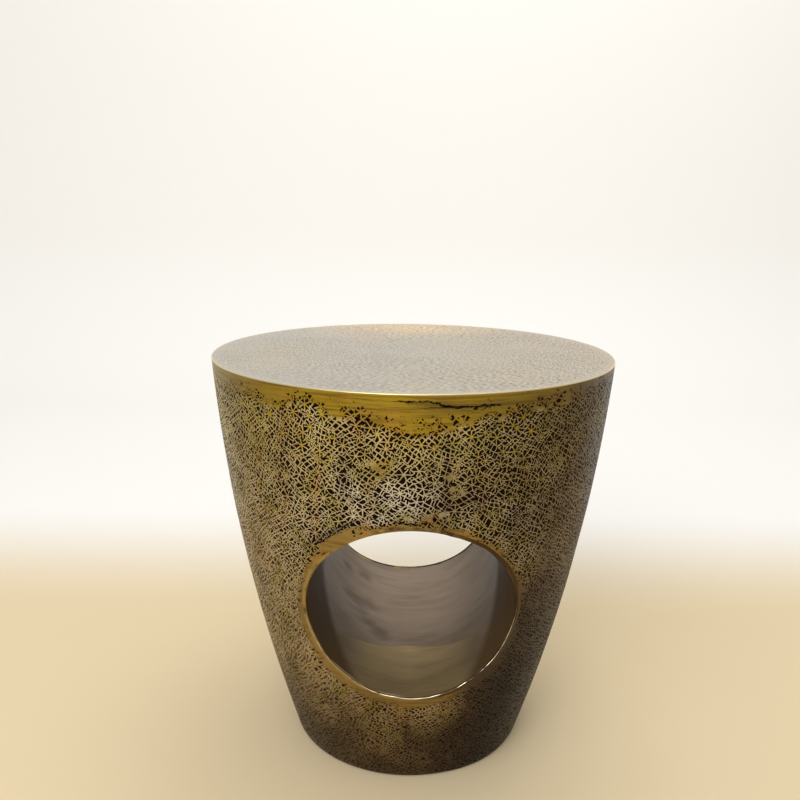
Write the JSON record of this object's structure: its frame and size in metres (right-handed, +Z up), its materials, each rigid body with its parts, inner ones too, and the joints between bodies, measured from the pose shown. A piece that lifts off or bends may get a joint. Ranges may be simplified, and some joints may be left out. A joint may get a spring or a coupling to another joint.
{
  "type": "drum side table",
  "caption": "Tapered, gently bulged drum side table of etched brass-finish sheet metal, with a flat top and a sleeved oval tunnel through its body from front to rear.",
  "frame": {"origin": "on the floor, on the drum's upright axis", "axes": "+Z up along the drum's axis; the tunnel runs along Y and the front opening faces -Y"},
  "size_m": [0.4568, 0.4568, 0.462],
  "materials": {
    "etched_brass": "deep-etched straw pattern, dark patina in the recesses",
    "top_brass": "satin, finely etched in rings",
    "sleeve_brass": "smooth satin, lightly hammered",
    "ground_brass": "ground smooth and half polished",
    "weld_steel": "as welded",
    "bar_steel": "dark primer",
    "pad_rubber": "matte"
  },
  "bodies": {
    "root": {"body_shell": "etched_brass", "top_pan": "top_brass", "tunnel_sleeve": "sleeve_brass", "front_lip": "ground_brass", "rear_lip": "ground_brass", "rim_tacks": "weld_steel", "front_sleeve_tacks": "weld_steel", "rear_sleeve_tacks": "weld_steel", "upper_seam_weld": "weld_steel", "lower_seam_weld": "weld_steel", "sleeve_seam_weld": "weld_steel", "base_ring": "bar_steel", "base_ring_tacks": "weld_steel", "top_cross_bar": "bar_steel", "top_side_bar_front": "bar_steel", "top_side_bar_rear": "bar_steel", "bar_tacks": "weld_steel", "foot_pads": "pad_rubber"}
  },
  "joints": []
}
